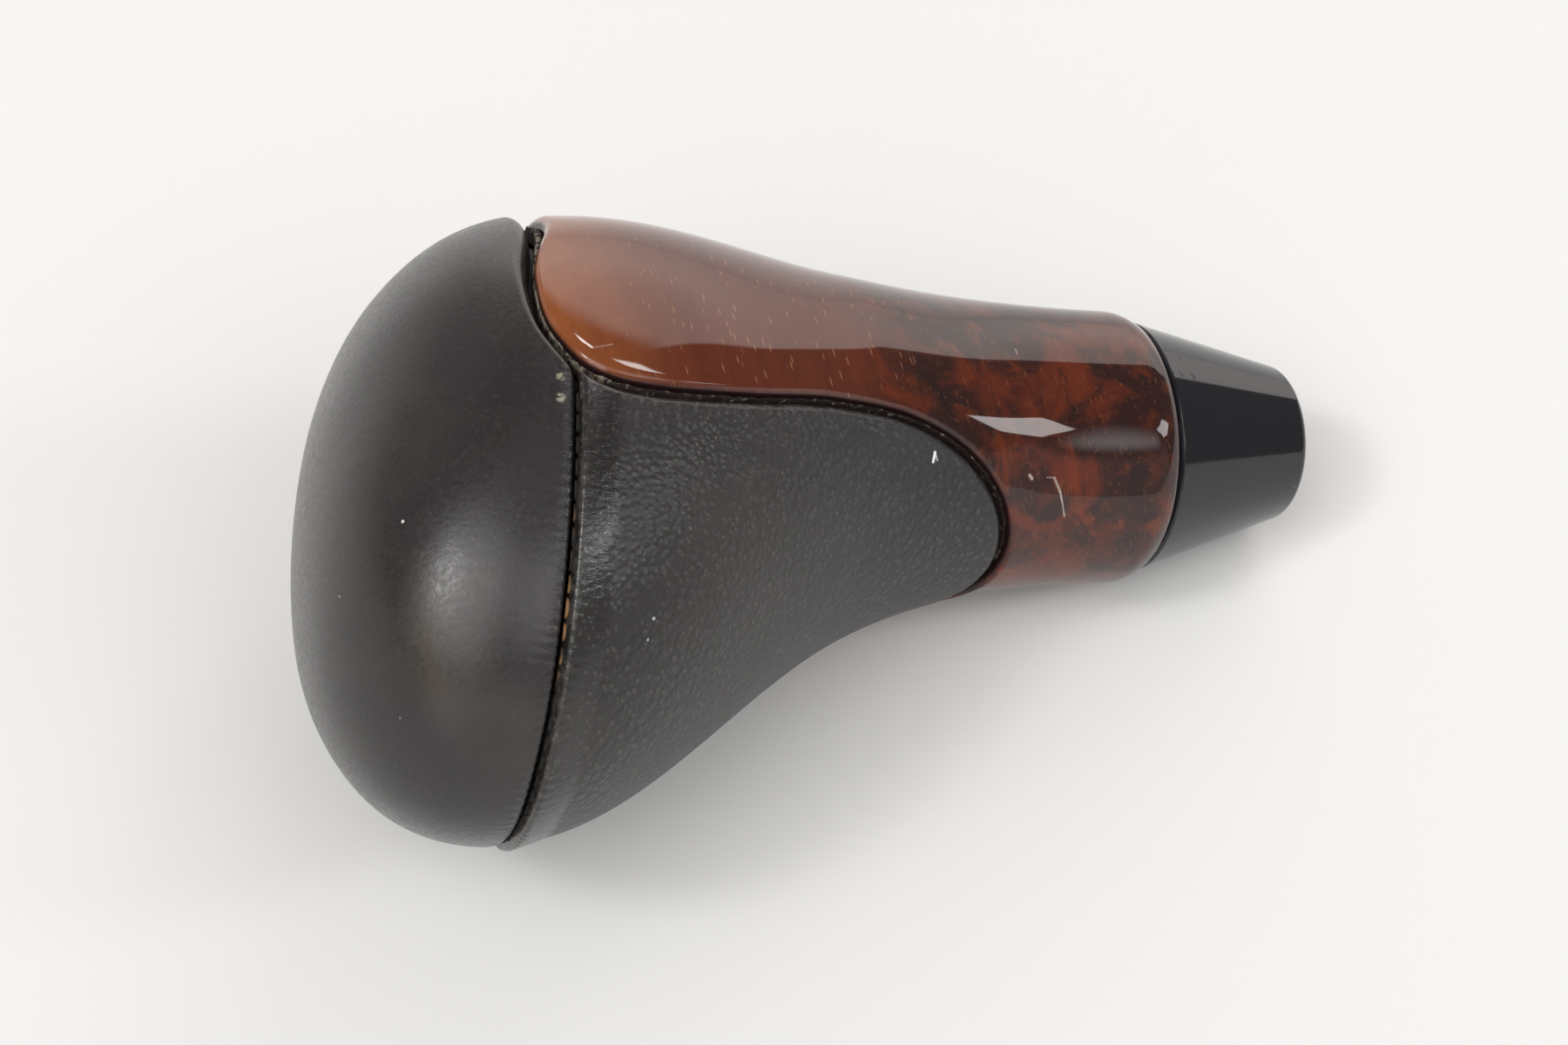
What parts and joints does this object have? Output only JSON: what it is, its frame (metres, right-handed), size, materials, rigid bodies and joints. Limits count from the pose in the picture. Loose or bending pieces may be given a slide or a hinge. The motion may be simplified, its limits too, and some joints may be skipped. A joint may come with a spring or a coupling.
{
  "type": "gear shift knob",
  "caption": "Gear shift knob with a leather head leaning back, a wood tongue and collar at the front and neck, and a black tapered lock sleeve that turns round the lever.",
  "frame": {"origin": "on the lever bore's axis, 2 mm inside its mouth and 6.4 mm inside the lock sleeve's open end", "axes": "+Z along the lever up into the head, +X to the wood side, +Y to the side"},
  "size_m": [0.062, 0.053, 0.105],
  "materials": {
    "smooth_leather": "smooth worn black leather",
    "grained_leather": "fine pebble grain, black",
    "foam": "thin open foam",
    "walnut": "lacquered walnut burl",
    "core_plastic": "moulded",
    "insert_steel": "turned",
    "black_gloss": "polished black",
    "spring_steel": "bright spring steel"
  },
  "bodies": {
    "root": {"cap_leather": "smooth_leather", "back_leather": "grained_leather", "cap_padding": "foam", "back_padding": "foam", "wood_trim": "walnut", "head_core": "core_plastic", "lever_insert": "insert_steel", "snap_ring": "spring_steel", "wave_washer": "spring_steel"},
    "sleeve": {"lock_sleeve": "black_gloss"}
  },
  "joints": [
    {"name": "sleeve_turn", "type": "hinge", "parent": "root", "child": "sleeve", "pos_m": [0, 0, 0], "axis": [0, 0, 1], "range_deg": [0, 90]}
  ]
}
